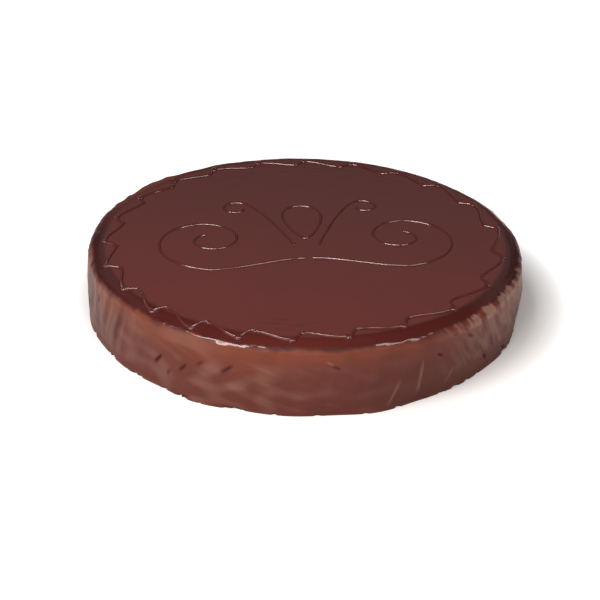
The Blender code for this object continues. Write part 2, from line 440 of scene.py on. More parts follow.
# %% [markdown]
# ## The profile
#
# A turned form needs only half of its cross-section.  It runs from the middle of the top,
# outwards, over the shoulder, down the side and back under the cake.  Its points are close
# together where the glaze will be worked, and far apart on the level middle.  Each point also
# carries two numbers for later: how far it lies down the glaze from the edge of the level top,
# and how steeply the surface faces up there.

# %% Points from the middle of the top to the middle of the underside
TOP_MIDDLE = 102 * MM  # inside this radius nothing was worked, and rings may be far apart
MIDDLE_RINGS = 13
TOP_RINGS = 22
SHOULDER_RINGS = 20
SIDE_RINGS = 40
FOOT_RINGS = 6
SHOULDER_LENGTH = shoulder_length[-1]


def skin_profile():
    """Rows of radius, height, distance down the glaze, and the upward share of the normal."""
    rows = []
    middle = np.linspace(0, TOP_MIDDLE, MIDDLE_RINGS, endpoint=False)
    for radius in [*middle, *np.linspace(TOP_MIDDLE, TOP_RADIUS, TOP_RINGS, endpoint=False)]:
        rows.append((radius, CAKE_HEIGHT, radius - TOP_RADIUS, 1.0))
    for down in np.linspace(0, SHOULDER_LENGTH, SHOULDER_RINGS + 1):
        reach = np.interp(down, shoulder_length, shoulder_reach)
        drop = np.interp(down, shoulder_length, shoulder_drop)
        slope = np.interp(down, shoulder_length, shoulder_slope)
        rows.append((TOP_RADIUS + reach, CAKE_HEIGHT - drop, down, max(0, math.cos(slope))))
    side_top = CAKE_HEIGHT - SHOULDER_HEIGHT
    upper = np.linspace(side_top, FOOT_HEIGHT, SIDE_RINGS, endpoint=False)[1:]
    for height in [*upper, *np.linspace(FOOT_HEIGHT, 0, FOOT_RINGS + 1)]:
        bulge = SIDE_BULGE * math.sin(math.pi * height / side_top)
        foot = FOOT_FLARE * max(0, 1 - height / FOOT_HEIGHT)
        rows.append((CAKE_RADIUS + bulge + foot, height, SHOULDER_LENGTH + side_top - height, 0))
    for share in (0.97, 0.8, 0.4, 0):
        rows.append((CAKE_RADIUS * share, 0, SHOULDER_LENGTH + side_top, -1))
    return np.array(rows)


profile = skin_profile()
print(len(profile), "rings, and", round(SHOULDER_LENGTH / MM, 1), "mm over the shoulder")

# %% [markdown]
# ## A tree that turns a profile
#
# Blender's Screw modifier could turn the profile too.  Geometry Nodes do it here because the
# same tree can pass the profile's numbers on to the skin, and can add the slow swell that
# poured glaze keeps when it sets.  A flat grid has one column for each step round the cake and
# one row for each point of the profile.  Every grid point looks up its row's place on the
# profile and is turned about Z by its column's share of a full turn.

# %% The turning tree
CAKE_SEGMENTS = 880
MERGE_DISTANCE = 0.01 * MM
FACING_DOWN = -0.5  # a point whose upward share is below this belongs to the underside


def titled(label):
    """A keyword such as swell_depth as the name of a tree's input, Swell Depth."""
    return label.replace("_", " ").title()


def new_tree(name, **sockets):
    """A Geometry Nodes tree with a Geometry input and output and these named inputs.

    It comes with the values that it is given, and with the function that adds a node to it.
    """
    tree = bpy.data.node_groups.new(name, "GeometryNodeTree")
    tree.interface.new_socket(name="Geometry", in_out="OUTPUT", socket_type="NodeSocketGeometry")
    tree.interface.new_socket(name="Geometry", in_out="INPUT", socket_type="NodeSocketGeometry")
    for label, kind in sockets.items():
        socket_type = "NodeSocket" + kind
        tree.interface.new_socket(name=titled(label), in_out="INPUT", socket_type=socket_type)
    return tree, add_node(tree, "NodeGroupInput").outputs, partial(add_node, tree)


def turning_tree():
    tree, given, add = new_tree(
        "turned_glaze_skin",
        segments="Int",
        swell_depth="Float",
        swell_size="Float",
        glaze="Material",
        underside="Material",
    )
    guide = given["Geometry"]
    size = add("GeometryNodeAttributeDomainSize", {"Geometry": guide}, component="MESH")
    count = size.outputs["Point Count"]
    columns = add("ShaderNodeMath", {0: given["Segments"], 1: 1.0}, operation="ADD")
    grid = add("GeometryNodeMeshGrid", {"Vertices X": columns, "Vertices Y": count})
    index = add("GeometryNodeInputIndex")
    row = add("ShaderNodeMath", {0: index, 1: count}, operation="MODULO")
    turn = add("ShaderNodeMath", {0: index, 1: count}, operation="DIVIDE")
    turn = add("ShaderNodeMath", {0: turn}, operation="FLOOR")
    turn = add("ShaderNodeMath", {0: turn, 1: given["Segments"]}, operation="DIVIDE")
    turn = add("ShaderNodeMath", {0: turn, 1: math.tau}, operation="MULTIPLY")
    own_place = add("GeometryNodeInputPosition")
    sample = {"Geometry": guide, "Value": own_place, "Index": row}
    place = add("GeometryNodeSampleIndex", sample, data_type="FLOAT_VECTOR")
    turned = add("ShaderNodeVectorRotate", {0: place, "Angle": turn}, rotation_type="Z_AXIS")
    skin = add("GeometryNodeSetPosition", {"Geometry": grid, "Position": turned})
    down, upward = (
        add("GeometryNodeInputNamedAttribute", {"Name": label}, data_type="FLOAT")
        for label in ("down", "upward")
    )
    for label, number in (("down", down), ("upward", upward)):
        sample = {"Geometry": guide, "Value": number, "Index": row}
        value = add("GeometryNodeSampleIndex", sample, data_type="FLOAT")
        stored = {"Geometry": skin, "Name": label, "Value": value}
        skin = add("GeometryNodeStoreNamedAttribute", stored, data_type="FLOAT", domain="POINT")
    # Merging closes the seam, where the last column lies on the first, and the two poles.
    closed = add("GeometryNodeMergeByDistance", {"Geometry": skin, "Distance": MERGE_DISTANCE})

    # The swell grows down the shoulder and the side.  The level top and the underside have none.
    scale = add("ShaderNodeMath", {0: 1.0, 1: given["Swell Size"]}, operation="DIVIDE")
    swell = add("ShaderNodeTexNoise", {"Scale": scale, "Detail": 1.0})
    loose = {"Value": down, "From Min": 0.0, "From Max": 2 * SHOULDER_LENGTH}
    inwards = add("ShaderNodeMapRange", loose)
    above = add("ShaderNodeMath", {0: upward, 1: FACING_DOWN}, operation="GREATER_THAN")
    for factor in (given["Swell Depth"], above, swell, -1.0):
        inwards = add("ShaderNodeMath", {0: inwards, 1: factor}, operation="MULTIPLY")
    outwards = add("ShaderNodeVectorMath", {0: own_place, 1: (1, 1, 0)}, operation="MULTIPLY")
    outwards = add("ShaderNodeVectorMath", {0: outwards}, operation="NORMALIZE")
    offset = add("ShaderNodeVectorMath", {0: outwards, "Scale": inwards}, operation="SCALE")
    swollen = add("GeometryNodeSetPosition", {"Geometry": closed, "Offset": offset})

    under = add("ShaderNodeMath", {0: upward, 1: FACING_DOWN}, operation="LESS_THAN")
    smooth = add("GeometryNodeSetShadeSmooth", {"Geometry": swollen})
    whole = add("GeometryNodeRealizeInstances", {"Geometry": smooth})
    glazed = add("GeometryNodeSetMaterial", {"Geometry": whole, "Material": given["Glaze"]})
    bare = {"Geometry": glazed, "Selection": under, "Material": given["Underside"]}
    add("NodeGroupOutput", {"Geometry": add("GeometryNodeSetMaterial", bare)})
    return tree


skin_tree = turning_tree()
print("the turning tree has", len(skin_tree.nodes), "nodes")

# %% [markdown]
# ## From a tree to a plain mesh
#
# A tree runs as a modifier on an object whose mesh is only the guide: here a row of points
# joined by edges.  The modifier's inputs are set by their identifiers before anything is
# evaluated.  The evaluated result is then copied into a plain mesh, and the guide goes away with
# its modifier, so that the finished piece needs no nodes to keep its shape.

# %% Run a tree on a guide
def guide_mesh(name, points, closed=False, **numbers):
    """A row of points joined by edges, with any named number for each point."""
    edges = [(index, index + 1) for index in range(len(points) - 1)]
    if closed:
        edges.append((len(points) - 1, 0))
    mesh = bpy.data.meshes.new(name)
    mesh.from_pydata([tuple(map(float, point)) for point in points], edges, [])
    for label, values in numbers.items():
        attribute = mesh.attributes.new(label, "FLOAT", "POINT")
        attribute.data.foreach_set("value", np.asarray(values, dtype=np.float32))
    return mesh


def made_by_tree(name, guide, tree, **values):
    """A new object with the plain mesh that the tree makes from the guide."""
    host = new_object(name + "_guide", guide)
    modifier = host.modifiers.new(tree.name, "NODES")
    modifier.node_group = tree
    wanted = {titled(label): value for label, value in values.items()}
    for socket in tree.interface.items_tree:
        if socket.in_out == "INPUT" and socket.name in wanted:
            modifier[socket.identifier] = wanted.pop(socket.name)
    if wanted:
        raise ValueError(f"{tree.name} has no input called {sorted(wanted)}")
    graph = bpy.context.evaluated_depsgraph_get()
    mesh = bpy.data.meshes.new_from_object(host.evaluated_get(graph))
    bpy.data.objects.remove(host)
    mesh.name = name
    return new_object(name, mesh)


turned = guide_mesh(
    "cake_profile",
    [(radius, 0, height) for radius, height, _, _ in profile],
    down=profile[:, 2],
    upward=profile[:, 3],
)
glazed_cake = made_by_tree(
    "glazed_cake",
    turned,
    skin_tree,
    segments=CAKE_SEGMENTS,
    swell_depth=0.5 * MM,
    swell_size=30 * MM,
    glaze=poured_glaze,
    underside=sponge,
)
print("the skin has", len(glazed_cake.data.polygons), "faces")

# %% [markdown]
# ## What running glaze leaves behind
#
# The side of a glazed cake is never smooth.  Glaze that ran over the shoulder set in long
# tongues.  Pores of the sponge show through as small slanted pits.  Thin ridges stay where the
# knife was lifted, and the foot is ragged where the glaze met the board.  Each is a rule that
# says how far the surface stands out, in millimetres, from its place round the cake and down the
# glaze.  Perlin noise on a circle gives patterns that close on themselves after a full turn.
#
# A rule names its places in degrees round the cake: 0 is at the right, 90 at the back, 180 at
# the left and 270 at the front.  "down" and every size are in millimetres.  A noise is given the
# size and the length of its cells, then its seed, and last how far the cells lean.

# %% Noise round the cake
NOISE_GAIN = 1.6  # Perlin noise seldom passes 0.6 either way, and this brings it to about 1


def ring_noise(angle, down_mm, size_mm, length_mm, seed, slant=0.0):
    """Noise from -1 to 1 in cells of this size round the cake and this length down it."""
    turned_angle = angle + slant * down_mm * MM / CAKE_RADIUS
    reach = CAKE_RADIUS / MM / size_mm
    places = np.column_stack(
        (np.cos(turned_angle) * reach, np.sin(turned_angle) * reach, down_mm / length_mm + seed)
    )
    return NOISE_GAIN * np.array([noise.noise(Vector(place)) for place in places])


def window(value, start, end, fade):
    """1 between start and end, fading to 0 over this distance on either side."""
    rise = np.clip((value - start) / fade + 1, 0, 1)
    fall = np.clip((end - value) / fade + 1, 0, 1)
    share = rise * fall
    return share * share * (3 - 2 * share)


def around(angle, degrees, half_width):
    """1 at this angle, fading to 0 at half_width degrees to either side."""
    away = np.degrees(np.abs((angle - math.radians(degrees) + math.pi) % math.tau - math.pi))
    return np.clip(1 - away / half_width, 0, 1) ** 2 * (1 + 2 * np.clip(away / half_width, 0, 1))


print("noise repeats after a full turn")

# %% Rules for the worked glaze
SHOULDER_MM = SHOULDER_LENGTH / MM
# Marks: degrees round the cake, height, length, lean, width, and how far they stand out, in mm.
# The ones that stand in are pits, where the sponge was coarse; the ones that stand out are ridges.
MARKS = (
    (233.5, 19.0, 8.0, 0.85, 0.85, -1.20),
    (237.0, 13.5, 5.0, 0.60, 0.70, -0.45),
    (241.0, 19.5, 6.5, 0.90, 0.80, -0.85),
    (245.5, 25.0, 5.0, 1.30, 0.70, -0.50),
    (252.5, 25.5, 8.0, 1.20, 0.80, -0.80),
    (206.0, 29.0, 6.0, 0.30, 0.80, -0.70),
    (196.0, 14.0, 7.0, 0.20, 0.90, -0.90),
    (189.0, 22.0, 6.0, 0.10, 0.80, -0.90),
    (304.0, 27.0, 4.0, -1.60, 0.75, -0.75),
    (314.0, 31.0, 5.0, -1.60, 0.70, -0.50),
    (321.0, 9.5, 5.5, -0.80, 0.90, -1.00),
    (331.0, 4.0, 6.0, -0.60, 1.10, -1.20),
    (340.0, 19.0, 7.0, 0.00, 0.80, -0.70),
    (352.0, 13.0, 6.0, 0.20, 0.90, -0.80),
    (276.5, 33.5, 6.0, -1.60, 0.60, 0.55),
    (277.5, 31.5, 5.0, -1.60, 0.80, -0.60),
    (291.5, 10.0, 15.0, 0.55, 0.60, 0.60),
    (298.5, 16.0, 19.0, 0.15, 0.60, 0.70),
    (307.0, 11.0, 10.0, 0.70, 0.60, 0.40),
    (22.0, 24.0, 6.0, 0.40, 0.80, -0.70),
    (41.0, 15.0, 7.0, -0.50, 0.80, -0.85),
    (48.0, 25.0, 13.0, 0.30, 0.60, 0.45),
    (67.0, 20.0, 6.0, 0.80, 0.80, -0.75),
    (84.0, 12.0, 10.0, -0.20, 0.60, 0.50),
    (99.0, 26.0, 5.0, 1.20, 0.70, -0.65),
    (118.0, 17.0, 6.5, 0.60, 0.85, -0.95),
    (127.0, 22.0, 15.0, 0.20, 0.60, 0.50),
    (146.0, 12.0, 6.0, -0.40, 0.80, -0.80),
    (163.0, 24.0, 6.0, 0.30, 0.75, -0.60),
)


def tongues(angle, down):
    """Where glaze ran down and set: broad tongues at the left, narrow leaning ones at the right."""
    side = window(down, 12, SHOULDER_MM + 18, 5)
    left, right = around(angle, 203, 34), around(angle, 326, 36)
    broad = 1 - 2 * np.abs(ring_noise(angle, down, 11, 60, 11, 0.10))
    narrow = 1 - 2 * np.abs(ring_noise(angle, down, 4.6, 26, 17, -0.45))
    even = 1 - 2 * np.abs(ring_noise(angle, down, 8, 45, 19, 0.1))
    everywhere = 0.10 + 0.12 * np.clip(np.sin(angle), 0, 1)
    return side * (0.42 * left * broad + 0.26 * right * narrow + everywhere * even - 0.12)


def shoulder_lumps(angle, down):
    """The shoulder is a little lumpy, so the light breaks up on it."""
    near = 0.35 * window(down, 1, 8, 3) + window(down, 10, SHOULDER_MM + 1, 2)
    coarse = ring_noise(angle, down, 9, 7, 23)
    fine = ring_noise(angle, down, 3.2, 4, 29)
    return near * (0.18 * coarse + 0.13 * fine)


def marks(angle, height_mm):
    """The pits and the ridges, each a stretched bump."""
    raised = np.zeros_like(angle)
    for degrees, middle, length, slant, width, out in MARKS:
        across = (angle - math.radians(degrees) + math.pi) % math.tau - math.pi
        across, up = across * CAKE_RADIUS / MM, height_mm - middle
        steep = math.hypot(1, slant)
        along, across = (up + slant * across) / steep, (across - slant * up) / steep
        raised += out * np.exp(-((across / width) ** 2) - (2 * along / length) ** 4)
    return raised


def hand_shape(angle, down, height_mm):
    """Where the outline leaves the turned form: a spread foot, a full rim, a flatter flank."""
    low, high = np.clip(1 - height_mm / 26, 0, 1), window(down, 7, SHOULDER_MM + 9, 5)
    spread = 2.3 * around(angle, 214, 34) + 2.8 * around(angle, 245, 13)
    spread += 2.2 * around(angle, 287, 12) + 0.3 * around(angle, 312, 16)
    scallops = 1 - 2 * np.abs(ring_noise(angle, height_mm * 0, 21, 1, 107))
    full = around(angle, 140, 44) * (0.7 + 1.1 * scallops) - 0.4 * around(angle, 172, 30)
    flat = 1.5 * around(angle, 348, 22)
    return (spread - flat) * low + (full - 0.6 * flat) * high


def ragged_foot(angle, height_mm):
    """The lowest glaze is drawn in unevenly, with small gaps where it never met the board."""
    low = np.clip(1 - height_mm / 3.0, 0, 1) ** 1.5
    gaps = np.clip(ring_noise(angle, height_mm * 0, 8, 1, 41) - 0.10, 0, 1)
    gaps *= 1 + 1.5 * ring_noise(angle, height_mm * 0, 2.4, 1, 43)
    return -low * (0.4 + 2.8 * np.clip(gaps, 0, 1))


def coat_and_painted_light(angle, down, height_mm):
    """How thinly the glaze set, from 0 to 1, with painted light added, and where it ran off.

    It is thickest on the top.  A feathery line near the foot of the shoulder is where it began
    to run: just below this line it is thinnest, and it gathers again further down.  Painted light
    is added: a painted glow along the back rim, and painted shade that darkens the rim at the left
    and the right and the side at the front right.  The lowest 1.5 mm are made paler.
    """
    line = 9.3 + 0.8 * around(angle, 250, 20) - 0.5 * around(angle, 275, 13)
    line = line - 1.8 * around(angle, 324, 24)
    ragged = 1 - 0.65 * around(angle, 268, 60)
    feather = 2.0 * ring_noise(angle, down, 5, 18, 61, -0.3)
    feather += 2.8 * ring_noise(angle, down, 17, 30, 67)
    begun = np.clip((down - line - ragged * feather) / (2 + 2 * ragged), 0, 1)
    begun = begun * begun * (3 - 2 * begun)
    gathered = np.clip((down - line - 3) / 16, 0, 1)
    patches = 1 + 0.35 * ring_noise(angle, down, 13, 9, 71, -0.4)
    foot = 0.8 * np.clip(1.5 - height_mm, 0, 1)
    # The rim is darkened more at the left and the right, where it turns away from the front lights:
    # painted shade.
    thick_and_shade = window(down, 1, line, 3) * (0.25 + 0.50 * np.abs(np.cos(angle))) * (1 - begun)
    thick_and_shade *= 1 - np.clip(2 * np.sin(angle), 0, 1)
    # Along the back rim the glaze is painted paler and redder: a painted glow of light from behind.
    rim = window(down, 5, SHOULDER_MM + 3, 4) * np.clip(2 * np.sin(angle), 0, 1)
    # At the front right the side is painted less pale: painted shade, as the light comes from the
    # left.
    right = 1 - 0.4 * around(angle, 308, 40)
    thin_and_painted_light = np.maximum(begun * (1 - 0.75 * gathered) * patches * right, np.maximum(foot, rim))
    gaps = around(angle, 202, 36) + 0.6 * around(angle, 122, 36) + 0.5 * around(angle, 52, 34)
    gaps = gaps * window(down, 14, SHOULDER_MM + 26, 4)
    thick_and_shade = thick_and_shade + 1.5 * gaps * np.clip(-ring_noise(angle, down, 7, 40, 83, 0.25) - 0.05, 0, 1)
    # The lower side at the front right is darkened: painted shade.
    thick_and_shade = thick_and_shade + 0.17 * around(angle, 297, 46) * window(down, 19, SHOULDER_MM + 40, 8)
    glossy = 4.0 * np.maximum(around(angle, 251, 17), 0.9 * around(angle, 296, 16))
    glossy = np.maximum(glossy, 4.0 * np.maximum(around(angle, 316, 6), around(angle, 233, 9)))
    glossy += 0.8 * ring_noise(angle, down * 0, 5, 1, 73)
    return thin_and_painted_light - thick_and_shade, down > 7.4 + glossy


def dull_and_sheen_streaks(angle, down):
    """Where the glaze dried grey-brown and matt, from 0 to 1, partly a painted sheen.

    Long streaks lie at the left and the back.  At the right short ones begin as a fringe of
    tongues under the dark rim and fade further down.  The pale streaks at the left and the right
    are partly a painted sheen of grazing reflection, and a patch under the shoulder's line of
    light at the front left is painted sheen.
    """
    left = np.maximum(0, around(angle, 198, 34) - 0.8 * around(angle, 205, 6))
    left = left + 0.7 * around(angle, 122, 36) + 0.6 * around(angle, 52, 34)
    broad = ring_noise(angle, down, 7, 40, 83, 0.25)
    broad += 0.5 * ring_noise(angle, down, 2.6, 16, 89, 0.3)
    long = np.clip(0.25 + 1.1 * broad, 0, 1) * window(down, 12, SHOULDER_MM + 30, 3)
    flow = around(angle, 255, 34) * window(down, 20, SHOULDER_MM + 32, 5)
    flow *= np.clip(0.6 + ring_noise(angle, down, 13, 9, 113), 0, 1)
    flow *= np.clip(ring_noise(angle, down, 11, 22, 111, -3.0), 0, 1)
    blotches = around(angle, 250, 60) * window(down, 24, SHOULDER_MM + 40, 6)
    blotches *= np.clip(ring_noise(angle, down, 15, 7, 117) + 0.1, 0, 1)
    # A paler patch under the shoulder's line of light at the front left: painted sheen.
    front_left = around(angle, 241, 14) * window(down, 12, 17, 3)
    fine = ring_noise(angle, down, 5, 12, 97, -0.5)
    fine += 0.7 * ring_noise(angle, down, 1.9, 9, 101, -0.5)
    below = 1.5 * window(down + 1.6 * fine, 10.6, 16, 2.0)
    below += 0.5 * window(down, 18, SHOULDER_MM + 22, 6)
    short = around(angle, 331, 32) * np.clip(0.5 + 0.9 * fine, 0, 1) * below
    streaks = 0.62 * left * long + 0.24 * flow + 0.3 * front_left + 0.35 * blotches
    return np.clip(streaks + 1.2 * short, 0, 1)


def top_smears(angle, down):
    """Faint marks of the knife on the top, inside the border at the front."""
    band = window(down, -24, -6, 5)
    front = around(angle, 264, 22) + 0.25
    return 0.18 * band * front * ring_noise(angle, down, 16, 2.6, 53, 5.0)


print(len(MARKS), "pits and ridges")

# %% [markdown]
# ## Work the skin
#
# The tree left the skin's numbers on its points, so the rules can be added up for all points at
# once.  NumPy reads the points as one array, moves them along the direction that the surface
# faces there and out to the CAD solid's own uneven outline, and writes them back.

# %% Move the skin's points
WORKED_FROM = 0.9 * TOP_MIDDLE  # the marks of the knife have faded out before this radius


def read_numbers(items, label, kind=np.float32, width=1):
    """What every item of a mesh has under this label, as one array."""
    values = np.empty(len(items) * width, dtype=kind)
    items.foreach_get(label, values)
    return values


def work_the_glaze(piece):
    mesh = piece.data
    places = read_numbers(mesh.vertices, "co", width=3).reshape(-1, 3).astype(float)
    down = read_numbers(mesh.attributes["down"].data, "value")
    upward = read_numbers(mesh.attributes["upward"].data, "value")
    angle = np.arctan2(places[:, 1], places[:, 0])
    radius = np.hypot(places[:, 0], places[:, 1])
    height_mm = places[:, 2] / MM
    worked = (upward > FACING_DOWN) & (radius > WORKED_FROM)
    a, d, h = angle[worked], down[worked].astype(float) / MM, height_mm[worked]

    def spread(values):
        """These values on the worked points, and 0 on all others."""
        whole = np.zeros(len(places), dtype=values.dtype)
        whole[worked] = values
        return whole

    marked = marks(a, h)
    relief = tongues(a, d) + shoulder_lumps(a, d) + marked + hand_shape(a, d, h)
    raised = spread(relief + ragged_foot(a, h) + top_smears(a, d))
    thin_and_painted_light, run_off = map(spread, coat_and_painted_light(a, d, h))
    # Ridges add to the grey-brown streaks, so they are painted paler: a painted sheen on them.
    dull_and_sheen = spread(np.clip(dull_and_sheen_streaks(a, d) + marked, 0, 1))
    # Pits and the gaps at the foot are darkened: painted shade.
    hollow_shade = spread(np.clip(np.maximum(-1.3 * marked, -1.2 * ragged_foot(a, h) - 0.5), 0, 1))

    up = np.clip(upward, 0, 1)
    share = np.clip((radius - TOP_RADIUS) / SHOULDER_WIDTH, 0, 1)
    moved = radius + share * side_offset(angle, places[:, 2]) + raised * np.sqrt(1 - up**2) * MM
    places[:, :2] *= np.where(radius > 0, moved / np.maximum(radius, MM), 1)[:, None]
    places[:, 2] += raised * up * MM
    on_shoulder = (upward >= 0) & (radius > TOP_RADIUS)
    on_shoulder &= height_mm > (CAKE_HEIGHT - SHOULDER_HEIGHT) / MM
    places[:, 2] += np.where(on_shoulder, fullness(angle, share), 0)
    mesh.vertices.foreach_set("co", places.astype(np.float32).ravel())
    for label in ("down", "upward"):
        mesh.attributes.remove(mesh.attributes[label])
    for label, values in {"thin_and_painted_light": thin_and_painted_light, "dull_and_sheen": dull_and_sheen, "hollow_shade": hollow_shade}.items():
        attribute = mesh.attributes.new(label, "FLOAT", "POINT")
        attribute.data.foreach_set("value", values.astype(np.float32))

    # Where the glaze ran off it soaked in a little and is less glossy: those faces get their own
    # material.  The underside keeps the sponge.
    mesh.materials.append(run_glaze)
    first_corner = read_numbers(mesh.polygons, "loop_start", np.int32)
    corner_point = read_numbers(mesh.loops, "vertex_index", np.int32)
    slots = read_numbers(mesh.polygons, "material_index", np.int32)
    ran = run_off[corner_point[first_corner]] & (slots == mesh.materials.find(poured_glaze.name))
    slots[ran] = len(mesh.materials) - 1
    mesh.polygons.foreach_set("material_index", slots)
    mesh.update()
    return raised


raised = work_the_glaze(glazed_cake)
print(f"the glaze stands {raised.max():.2f} mm out and {-raised.min():.2f} mm in")

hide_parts("cake")
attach(glazed_cake, "root")

# %% [markdown]
# ## Piped threads
#
# A paper cone with its tip snipped off lays a thin thread of the same chocolate.  The thread
# melts into the glaze a little: it has a flat bottom that is lost in the glaze, a rounded crown,
# and soft flanks.  A bevelled curve would be a round wire, so a tree sweeps a bell-shaped
# section instead.  Where the hand slowed down the thread swells to a bead, so each point of the
# guide carries its own swell, and a rounded end comes from how far the end is away.

# %% The piping tree
SECTION_POINTS = 20
CROWN_POWER = 1.8  # 2 would give a parabola, and 1 a tent
END_SHARE = 0.05  # how much of the section is left at a rounded end


def piping_tree():
    tree, given, add = new_tree(
        "piped_thread",
        half_width="Float",
        height="Float",
        sink="Float",
        wobble="Float",
        wobble_size="Float",
        rounded_ends="Bool",
        bead_flatness="Float",
        chocolate="Material",
    )
    path = add("GeometryNodeMeshToCurve", {"Mesh": given["Geometry"]})
    path = add("GeometryNodeSetCurveNormal", {"Curve": path}, mode="Z_UP")

    # The hand is never quite steady: the path strays by a small smooth noise, in the level only.
    scale = add("ShaderNodeMath", {0: 1.0, 1: given["Wobble Size"]}, operation="DIVIDE")
    stray = add("ShaderNodeTexNoise", {"Scale": scale, "Detail": 1.0}).outputs["Color"]
    stray = add("ShaderNodeVectorMath", {0: stray, 1: (0.5, 0.5, 0.5)}, operation="SUBTRACT")
    stray = add("ShaderNodeVectorMath", {0: stray, 1: (2, 2, 0)}, operation="MULTIPLY")
    stray = add("ShaderNodeVectorMath", {0: stray, "Scale": given["Wobble"]}, operation="SCALE")
    path = add("GeometryNodeSetPosition", {"Geometry": path, "Offset": stray})

    # Near an end the section shrinks along a quarter circle, one half width long.
    travelled = add("GeometryNodeSplineParameter").outputs["Length"]
    whole = add("GeometryNodeSplineLength").outputs["Length"]
    ahead = add("ShaderNodeMath", {0: whole, 1: travelled}, operation="SUBTRACT")
    nearest = add("ShaderNodeMath", {0: travelled, 1: ahead}, operation="MINIMUM")
    last = {"Value": nearest, "From Max": given["Half Width"], "To Min": 1.0, "To Max": 0.0}
    inside = add("ShaderNodeMapRange", last)
    square = add("ShaderNodeMath", {0: inside, 1: inside}, operation="MULTIPLY")
    square = add("ShaderNodeMath", {0: 1.0, 1: square}, operation="SUBTRACT")
    rounded = add("ShaderNodeMath", {0: square}, operation="SQRT")
    rounded = add("ShaderNodeMath", {0: rounded, 1: END_SHARE}, operation="MAXIMUM")
    choice = {"Switch": given["Rounded Ends"], "False": 1.0, "True": rounded}
    ends = add("GeometryNodeSwitch", choice, input_type="FLOAT")
    swell = add("GeometryNodeInputNamedAttribute", {"Name": "swell"}, data_type="FLOAT")
    thickness_and_painted_shade = add("ShaderNodeMath", {0: swell, 1: ends}, operation="MULTIPLY")

    # The section: a circle whose upper half becomes a ridge with a rounded crown, and whose lower
    # half is flat.  A section's -Y points up when the path's normals do.
    circle = add("GeometryNodeCurvePrimitiveCircle", {"Resolution": SECTION_POINTS, "Radius": 1.0})
    parts = add("ShaderNodeSeparateXYZ", {0: add("GeometryNodeInputPosition")}).outputs
    up = add("ShaderNodeMath", {0: parts["Y"], 1: -1.0}, operation="MULTIPLY")
    aside = add("ShaderNodeMath", {0: parts["X"]}, operation="ABSOLUTE")
    aside = add("ShaderNodeMath", {0: aside, 1: CROWN_POWER}, operation="POWER")
    crown = add("ShaderNodeMath", {0: 1.0, 1: aside}, operation="SUBTRACT")
    above = add("ShaderNodeMath", {0: up, 1: 0.0}, operation="GREATER_THAN")
    crown = add("ShaderNodeMath", {0: crown, 1: above}, operation="MULTIPLY")
    crown = add("ShaderNodeMath", {0: crown, 1: given["Height"]}, operation="MULTIPLY")
    below = add("ShaderNodeMath", {0: up, 1: 0.0}, operation="LESS_THAN")
    sunk = add("ShaderNodeMath", {0: below, 1: given["Sink"]}, operation="MULTIPLY")
    height = add("ShaderNodeMath", {0: sunk, 1: crown}, operation="SUBTRACT")
    across = add("ShaderNodeMath", {0: parts["X"], 1: given["Half Width"]}, operation="MULTIPLY")
    bell = add("ShaderNodeCombineXYZ", {"X": across, "Y": height})
    section = add("GeometryNodeSetPosition", {"Geometry": circle, "Position": bell})
    sweep = {"Curve": path, "Profile Curve": section, "Scale": thickness_and_painted_shade, "Fill Caps": True}
    thread = add("GeometryNodeCurveToMesh", sweep)

    # A flattened ball stands where the hand rested.  Points with no bead size get none.
    bead = add("GeometryNodeInputNamedAttribute", {"Name": "bead"}, data_type="FLOAT")
    rested = add("ShaderNodeMath", {0: bead, 1: 0.0}, operation="GREATER_THAN")
    ball = add("GeometryNodeMeshIcoSphere", {"Radius": 1.0, "Subdivisions": 3})
    upright = add("ShaderNodeMath", {0: bead, 1: given["Bead Flatness"]}, operation="MULTIPLY")
    size = add("ShaderNodeCombineXYZ", {"X": bead, "Y": bead, "Z": upright})
    placing = {"Points": path, "Selection": rested, "Instance": ball, "Scale": size}
    beads = add("GeometryNodeInstanceOnPoints", placing)
    joined = add("GeometryNodeJoinGeometry")
    for shape in (beads, thread):
        tree.links.new(shape.outputs[0], joined.inputs["Geometry"])
    whole = add("GeometryNodeRealizeInstances", {"Geometry": joined})
    smooth = add("GeometryNodeSetShadeSmooth", {"Geometry": whole})
    done = add("GeometryNodeSetMaterial", {"Geometry": smooth, "Material": given["Chocolate"]})
    add("NodeGroupOutput", {"Geometry": done})
    return tree


thread_tree = piping_tree()
print("the piping tree has", len(thread_tree.nodes), "nodes")

# %% [markdown]
# ## The wave round the edge
#
# The border is piped in one go.  In each wave the hand drifts slowly outwards, rests for a
# moment, which leaves a bead, and flicks back in.  The waves were spaced by eye, so their angle
# drifts by two slow sines, and each wave reaches out a little more or less than the next.

# %% The border's rule
WAVE_COUNT = 23
WAVE_CREST_RADIUS = 0.905 * CAKE_RADIUS
WAVE_DEPTH = 0.048 * CAKE_RADIUS
WAVE_LEAN_SHIFT = 0.050 * CAKE_RADIUS
WAVE_RETURN = 0.20
WAVE_PHASE = math.radians(-4.1)
WAVE_DRIFT = math.radians(6.7)
WAVE_DRIFT_PHASE = math.radians(-41.7)
WAVE_SECOND_DRIFT = math.radians(2.9)
WAVE_SECOND_PHASE = math.radians(17.1)
WAVE_POINTS = 56
BORDER_HALF_WIDTH = 1.05 * MM
BORDER_HEIGHT = 1.2 * MM
THREAD_SINK = 0.5 * MM
CREST_BEAD = (2.0 * MM, 2.6 * MM)  # the least and the greatest radius of a bead
HOOK_BEAD = (1.1 * MM, 1.7 * MM)
HOOK_STEPS = (1, 4)  # the first and the last step of a wave where its hook may have its bead
WAVE_REACH_MM = (-0.6, 0.6)
THREAD_SWELL = 0.85  # the thread's size between two beads; the next two are added at a bead
CREST_SWELL = (0.25, 0.45)
HOOK_SWELL = (0.05, 0.30)
SWELL_SPAN = 0.065  # the share of a wave over which the thread swells and thins
BORDER_SEED = 23


